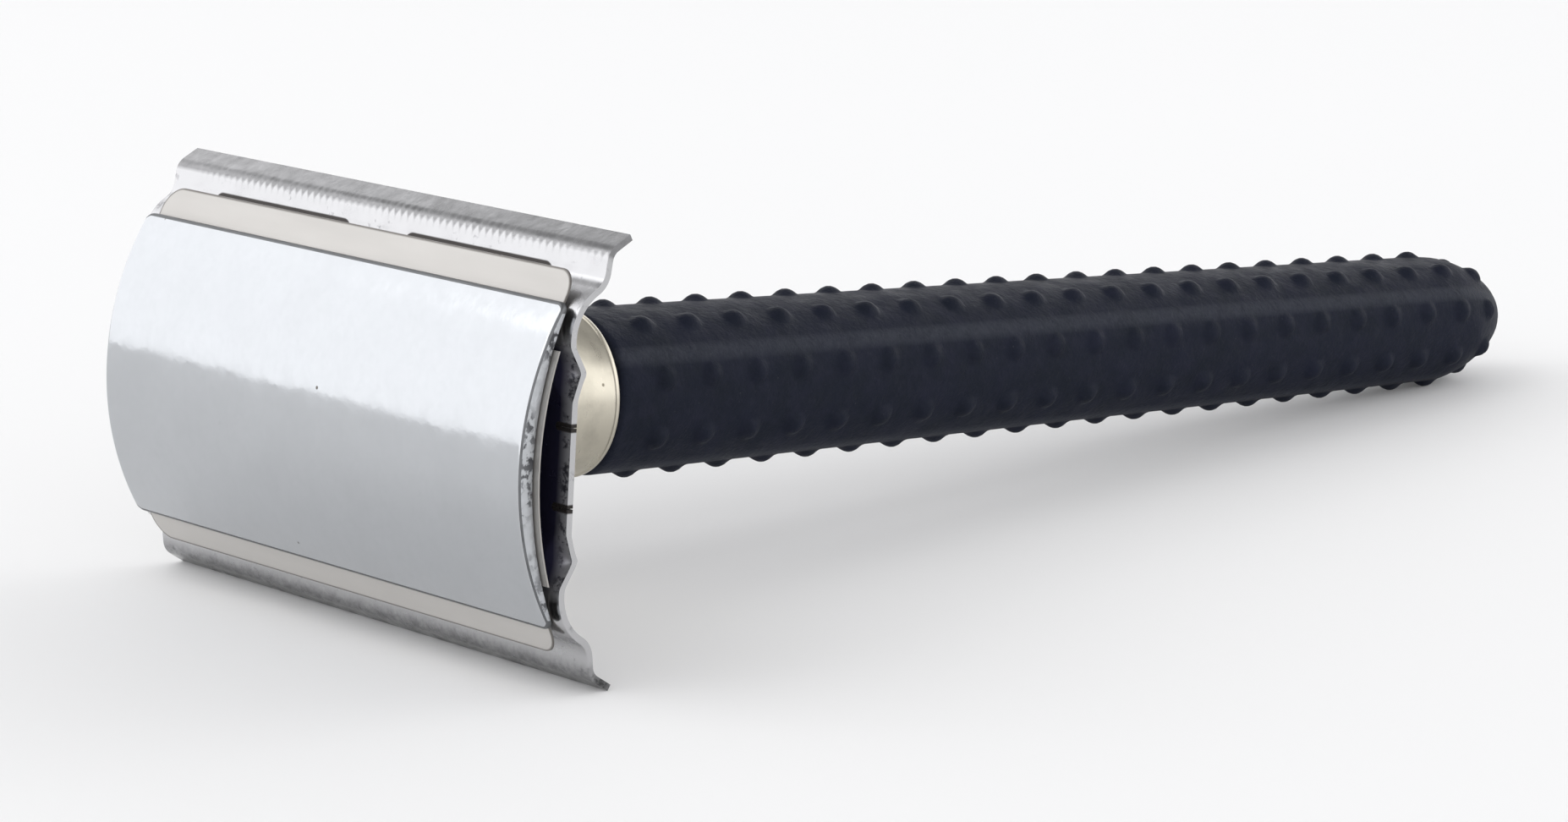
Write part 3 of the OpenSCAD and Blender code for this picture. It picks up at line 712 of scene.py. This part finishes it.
def plate_face(f):
    m = Finish("pressed_chrome", f.plate, 1.0, 0.2, 0.2)
    m.rough(m.noise(700, 4), 0.12, 0.3)
    m.tint(m.ramp(m.noise(1100, 5, 0.7), (0.6, 0.0), (0.72, 0.7)), (0.16, 0.16, 0.17))
    m.bump(m.noise(900, 3), 0.000012)
    # places in millimetres: x along the blade, over across the section from the seat's middle
    parts = m.node("ShaderNodeSeparateXYZ")
    m.link(m.coord.outputs["UV"], parts.inputs["Vector"])
    x, over = (m.times(m.math("SUBTRACT", parts.outputs[axis], 0.5), UV_SPAN) for axis in "XY")
    far, wide = m.math("ABSOLUTE", x), m.math("ABSOLUTE", over)
    # fine ribs across both bends, as height on the bend and as short grey lines beside it
    rib = m.math("SINE", m.times(x, 2 * math.pi / RIB_PITCH))
    patch = m.ramp(m.noise(130, 2, stretch=(1, 0.2, 0.2)), (0.42, 0.0), (0.62, 1.0))
    bend = m.times(m.ramp(wide, (11.75, 0.0), (12.1, 1.0)), m.ramp(wide, (12.6, 1.0), (12.9, 0.1)))
    m.bump(m.times(rib, bend, patch), 0.000001)
    band = m.times(m.ramp(wide, (11.75, 0.0), (12.05, 1.0)), m.ramp(wide, (12.1, 1.0), (12.2, 0.0)))
    m.tint(m.times(m.ramp(rib, (0.2, 0.0), (0.9, 0.2)), band, patch), dark(f.plate, 0.45))
    # the upper lip is greyer past a border that the ribs notch
    edge = m.math("ADD", over, m.times(rib, patch, 0.11))
    grain = m.ramp(m.noise(1500, 4, 0.7), (0.3, 0.75), (0.7, 1.0))
    m.tint(m.times(m.ramp(edge, (12.12, 0.0), (12.32, 0.9)), grain), dark(f.plate, 0.36))
    # painted shade: the lower lip darkens towards its tip, with a coarse grain
    grain = m.ramp(m.noise(1700, 5, 0.8), (0.35, 0.4), (0.62, 1.0))
    m.tint(m.times(m.ramp(over, (-12.9, 1.0), (-11.6, 0.0)), grain), dark(f.plate, 0.07))
    # the inner face between the shoulders is painted dark with the shade under the cap and made less
    # metallic; the painted shade lifts towards its two ends, which carry specks
    inward = m.ramp(m.facing(ALONG), (-0.5, 1.0), (-0.2, 0.0))
    inner = m.times(m.ramp(wide, (6.3, 1.0), (7.4, 0.0)), inward)
    m.tint(m.times(inner, m.ramp(far, (18.8, 0.97), (19.7, 0.35))), (0.009, 0.008, 0.036))
    specks = m.ramp(m.noise(1500, 4, 0.7), (0.5, 0.0), (0.6, 0.85))
    m.tint(m.times(inner, m.times(m.ramp(far, (18.9, 0.0), (19.4, 1.0)), specks)), (0.006, 0.006, 0.016))
    # painted shadow round the drain slots and notches, as dark rims
    for cx, cy, half, r in SHADOW_RIMS:
        dx = m.past(m.math("ABSOLUTE", m.math("SUBTRACT", far, cx)), half)
        away = m.distance(dx, m.math("SUBTRACT", wide, cy))
        m.tint(m.ramp(away, (r + 0.1, 0.97), (r + 0.18, 0.0)), (0.03, 0.026, 0.024))
    m.link(m.ramp(inner, (0.0, 1.0), (1.0, 0.6)), m.shader.inputs["Metallic"])
    return m.mat


# Painted shade: the walls of the slots, notches and holes are near black, for the shade inside them.
def shaded_cut_wall(f):
    m = Finish("shaded_cut_wall", dark(f.plate, 0.06), 0.3, 0.6, 0.1)
    m.rough(m.noise(1200, 3), 0.5, 0.7)
    m.tint(m.ramp(m.noise(1500, 3), (0.5, 0.0), (0.7, 0.6)), dark(f.plate, 0.12))
    return m.mat


def ground_steel(f):
    m = Finish("ground_steel", f.blade, 0.45, 0.42)
    m.rough(m.noise(500, 3, stretch=(0.2, 1, 1)), 0.36, 0.5)
    m.tint(m.ramp(m.noise(700, 4, stretch=(0.15, 1, 1)), (0.4, 0.0), (0.8, 0.3)), dark(f.blade, 0.85))
    m.bump(m.noise(2600, 3, stretch=(0.06, 1, 1)), 0.000004)
    # a painted shadow line round the flat outside the tabs, by the distance to the flat's rectangle; then
    # painted shade that darkens the tabs
    far, high = (m.math("ABSOLUTE", m.place(axis)) for axis in (ACROSS, HIGH))
    away = m.distance(m.past(far, FLAT_X), m.past(high, FLAT_Z))
    line = m.times(m.ramp(away, (SHADOW_FROM, 0.0), (SHADOW_TO, 0.75)), m.ramp(high, (6.5, 0.0), (6.7, 1.0)))
    m.tint(line, (0.05, 0.04, 0.032))
    m.tint(m.ramp(far, (18.7, 0.0), (18.95, 0.6)), dark(f.blade, 0.4))
    return m.mat


def satin_nickel(f):
    m = Finish("satin_nickel", f.nickel, 1.0, 0.3)
    m.rough(m.noise(600, 3, stretch=(1, 3, 1)), 0.24, 0.4)
    m.tint(m.ramp(m.noise(420, 5, 0.65), (0.5, 0.0), (0.8, 0.6)), dark(f.nickel, 0.62))
    m.bump(m.noise(2200, 3, stretch=(0.3, 2.2, 0.3)), 0.000006)
    m.tint(m.spots(420, 0.03, 0.06), (0.20, 0.18, 0.14))
    return m.mat


def soft_rubber(f, turn):
    m = Finish("soft_rubber", f.rubber, 0.0, 0.55, 0.07)
    m.rough(m.noise(700, 4), 0.48, 0.66)
    m.tint(m.ramp(m.noise(300, 5, 0.7), (0.35, 0.0), (0.7, 0.7)), (0.0115, 0.0135, 0.026))
    m.tint(m.ramp(m.noise(900, 4, 0.7), (0.45, 0.0), (0.75, 0.6)), (0.016, 0.017, 0.030))
    # a painted highlight along the four ridges, broken by a grain: the cosine of four times the angle from a
    # side's middle is least there
    around = m.math("ARCTAN2", m.place(HIGH), m.place(ACROSS))
    ridge = m.math("COSINE", m.times(m.math("SUBTRACT", around, turn), 4.0))
    grain = m.ramp(m.noise(700, 5, 0.8), (0.35, 0.25), (0.62, 1.0))
    m.tint(m.times(m.ramp(ridge, (-0.84, 0.0), (-0.99, 0.6)), grain), (0.044, 0.048, 0.060))
    m.bump(m.noise(2400, 4, 0.7), 0.00009)
    m.bump(m.noise(420, 3), 0.00004)
    m.tint(m.ramp(m.noise(5200, 2), (0.70, 0.0), (0.8, 0.3)), (0.11, 0.11, 0.12))
    return m.mat


def turned_metal(name, tone, rough):
    m = Finish(name, tone, 1.0, rough)
    m.rough(m.noise(800, 3), rough * 0.8, rough * 1.3)
    m.tint(m.ramp(m.noise(600, 4), (0.45, 0.0), (0.8, 0.4)), dark(tone, 0.7))
    m.bump(m.noise(2600, 2, stretch=(0.3, 3, 0.3)), 0.000006)
    return m.mat


def plain_plastic(name, tone):
    m = Finish(name, tone, 0.0, 0.5)
    m.rough(m.noise(900, 3), 0.42, 0.6)
    m.bump(m.noise(3000, 3), 0.00001)
    return m.mat


def coat(node, material):
    """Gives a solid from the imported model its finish."""
    slots = frame["nodes"][node].material_slots
    if not len(slots):
        raise RuntimeError(node + " has no material slot")
    for s in slots:
        s.material = material


# ---------------------------------------------------------------- operators

class MakeStage(bpy.types.Operator):
    """Adds the floor, the sky, the lights and the camera"""
    bl_idname = "razor.stage"
    bl_label = "Stage"

    def execute(self, context):
        finish = context.scene.razor_finish
        floor = bpy.data.meshes.new("floor")
        half = 2.5
        floor.from_pydata([(-half, -half, 0), (half, -half, 0), (half, half, 0), (-half, half, 0)], [],
                          [(0, 1, 2, 3)])
        obj = bpy.data.objects.new("floor", floor)
        context.scene.collection.objects.link(obj)
        m = Finish("pale_floor", finish.floor, 0.0, 0.75, 0.2)
        m.rough(m.noise(6, 2), 0.7, 0.8)
        floor.materials.append(m.mat)
        self.sky(context)
        self.lamps(context)
        self.camera(context)
        return {"FINISHED"}

    def sky(self, context):
        """A sky that is bright from the horizon up to 36 degrees and dimmer above."""
        world = bpy.data.worlds.new("studio")
        context.scene.world = world
        world.use_nodes = True
        tree = world.node_tree
        back = tree.nodes["Background"]
        where = tree.nodes.new("ShaderNodeTexCoord")
        parts = tree.nodes.new("ShaderNodeSeparateXYZ")
        ramp = tree.nodes.new("ShaderNodeValToRGB")
        tree.links.new(where.outputs["Generated"], parts.inputs["Vector"])
        tree.links.new(parts.outputs["Z"], ramp.inputs["Fac"])
        tree.links.new(ramp.outputs["Color"], back.inputs["Color"])
        back.inputs["Strength"].default_value = 1.75
        stops = [(0.0, 1.0), (0.590, 1.0), (0.622, 0.27), (1.0, 0.26)]
        e = ramp.color_ramp.elements
        while len(e) < len(stops):
            e.new(0.5)
        for k, (place, v) in zip(e, stops):
            k.position, k.color = place, (v, v, v * 1.01, 1)

    def lamps(self, context):
        """A wide soft lamp over the front left and a weaker one behind."""
        aim = Vector((0, 0, 0.01))
        for name, place, power, size in (("key", (-0.35, -0.5, 0.75), 1.6, 0.7),
                                         ("back", (0.4, 0.7, 0.6), 0.8, 0.6)):
            lamp = bpy.data.lights.new(name, "AREA")
            lamp.energy, lamp.size = power, size
            obj = bpy.data.objects.new(name, lamp)
            context.scene.collection.objects.link(obj)
            obj.location = place
            obj.rotation_euler = (aim - Vector(place)).to_track_quat("-Z", "Y").to_euler()

    def camera(self, context):
        """A long lens from the front right, a little above the razor."""
        cam = bpy.data.cameras.new("camera")
        cam.sensor_width, cam.lens = 36.0, 111.298
        cam.clip_start, cam.clip_end = 0.01, 20
        obj = bpy.data.objects.new("camera", cam)
        context.scene.collection.objects.link(obj)
        pose = np.eye(4)
        pose[:3, :3] = (CAMERA_AXES @ np.array([ACROSS, ALONG, HIGH])).T
        pose[:3, 3] = handle_frame([CAMERA_PLACE])[0]
        obj.matrix_world = Matrix(pose.tolist())
        context.scene.camera = obj


class MakeCap(bpy.types.Operator):
    """Builds the chromed cap"""
    bl_idname = "razor.cap"
    bl_label = "Cap"

    def execute(self, context):
        head, _, finish = sizes()
        points, faces, skin = cap_surface(head)
        mesh = new_mesh("cap_sheet", points, faces)
        mesh.polygons.foreach_set("material_index", skin)
        outward(mesh)
        skins = [chrome_face(finish), sheared_metal(finish), painted_shadow_line(finish)]
        piece("cap_sheet", mesh, skins, "cap", ["cap"], 40)
        return {"FINISHED"}


class MakePlate(bpy.types.Operator):
    """Builds the pressed guard plate with its slots, notches and holes"""
    bl_idname = "razor.plate"
    bl_label = "Guard plate"

    def execute(self, context):
        head, _, finish = sizes()
        points, faces, uv = plate_surface(head)
        mesh = new_mesh("guard_plate", points, faces, uv)
        outward(mesh)
        crease = 32
        obj = piece("guard_plate", mesh, [plate_face(finish)], "base", ["base_plate"], crease)
        # the slots go through the valleys, the notches and holes through the flat middle
        walls, front, behind_valleys, behind_seat = shaded_cut_wall(finish), -1.0, 3.0, 1.0
        cut(obj, *prisms(four_slots(*SLOT), front, behind_valleys), walls)
        holes = [disc_outline(x, 0, r) for x, r in ((0, STUD_HOLE), (-PIN_X, PIN_HOLE), (PIN_X, PIN_HOLE))]
        cut(obj, *prisms(four_slots(*NOTCH, 6) + holes, front, behind_seat), walls)
        obj.data.shade_smooth()
        obj.data.set_sharp_from_angle(angle=math.radians(crease))
        return {"FINISHED"}


class MakeNeck(bpy.types.Operator):
    """Builds the waisted metal neck"""
    bl_idname = "razor.neck"
    bl_label = "Neck"

    def execute(self, context):
        _, grip, finish = sizes()
        points, faces = turned(neck_profile(grip))
        mesh = new_mesh("neck_turned", points, faces)
        outward(mesh)
        piece("neck_turned", mesh, [satin_nickel(finish)], "handle", ["neck"], 50)
        return {"FINISHED"}


class MakeGrip(bpy.types.Operator):
    """Builds the rubber grip with its bumps and domed butt"""
    bl_idname = "razor.grip"
    bl_label = "Grip"

    def execute(self, context):
        _, grip, finish = sizes()
        points, faces = grip_surface(grip)
        mesh = new_mesh("grip_sleeve", points, faces)
        outward(mesh)
        piece("grip_sleeve", mesh, [soft_rubber(finish, grip.turn)], "handle", ["grip"], 60)
        return {"FINISHED"}


class CoatSolids(bpy.types.Operator):
    """Gives the blade, stud, pins, bush, core and plug their finishes"""
    bl_idname = "razor.coat"
    bl_label = "Inner pieces"

    def execute(self, context):
        finish = sizes()[2]
        steel = turned_metal("turned_steel", (0.52, 0.52, 0.54), 0.3)
        bright = turned_metal("bright_pin", (0.60, 0.61, 0.63), 0.16)
        coat("blade", ground_steel(finish))
        for node, material in (("stud", steel), ("stud_collar", steel),
                               ("pin_left", bright), ("pin_right", bright),
                               ("thread_bush", turned_metal("turned_brass", tuple(finish.brass), 0.25)),
                               ("handle_core", turned_metal("drawn_aluminium", (0.5, 0.51, 0.53), 0.35)),
                               ("core_plug", plain_plastic("plug_plastic", (0.05, 0.05, 0.055)))):
            coat(node, material)
        return {"FINISHED"}


class RazorPanel(bpy.types.Panel):
    """Lists the razor's pieces and sizes in the sidebar"""
    bl_idname = "VIEW3D_PT_razor"
    bl_label = "Safety razor"
    bl_space_type = "VIEW_3D"
    bl_region_type = "UI"
    bl_category = "Razor"

    def draw(self, context):
        for op in OPERATORS:
            self.layout.operator(op.bl_idname)
        for group in (context.scene.razor_head, context.scene.razor_grip, context.scene.razor_finish):
            box = self.layout.box()
            for name in group.__annotations__:
                box.prop(group, name)


GROUPS = (RazorHeadSizes, RazorGripSizes, RazorFinish)
OPERATORS = (MakeStage, MakeCap, MakePlate, MakeNeck, MakeGrip, CoatSolids)


def register():
    """Registers the groups, operators and panel, and hangs the groups on the scene."""
    for c in GROUPS + OPERATORS + (RazorPanel,):
        bpy.utils.register_class(c)
    bpy.types.Scene.razor_head = bpy.props.PointerProperty(type=RazorHeadSizes)
    bpy.types.Scene.razor_grip = bpy.props.PointerProperty(type=RazorGripSizes)
    bpy.types.Scene.razor_finish = bpy.props.PointerProperty(type=RazorFinish)


def unregister():
    """Takes all of it away again."""
    del bpy.types.Scene.razor_head, bpy.types.Scene.razor_grip, bpy.types.Scene.razor_finish
    for c in reversed(GROUPS + OPERATORS + (RazorPanel,)):
        bpy.utils.unregister_class(c)


def main():
    """Builds every piece in order."""
    register()
    bpy.context.scene.view_settings.view_transform = "Standard"
    for op in OPERATORS:
        group, name = op.bl_idname.split(".")
        getattr(getattr(bpy.ops, group), name)()


if __name__ == "__main__":
    main()
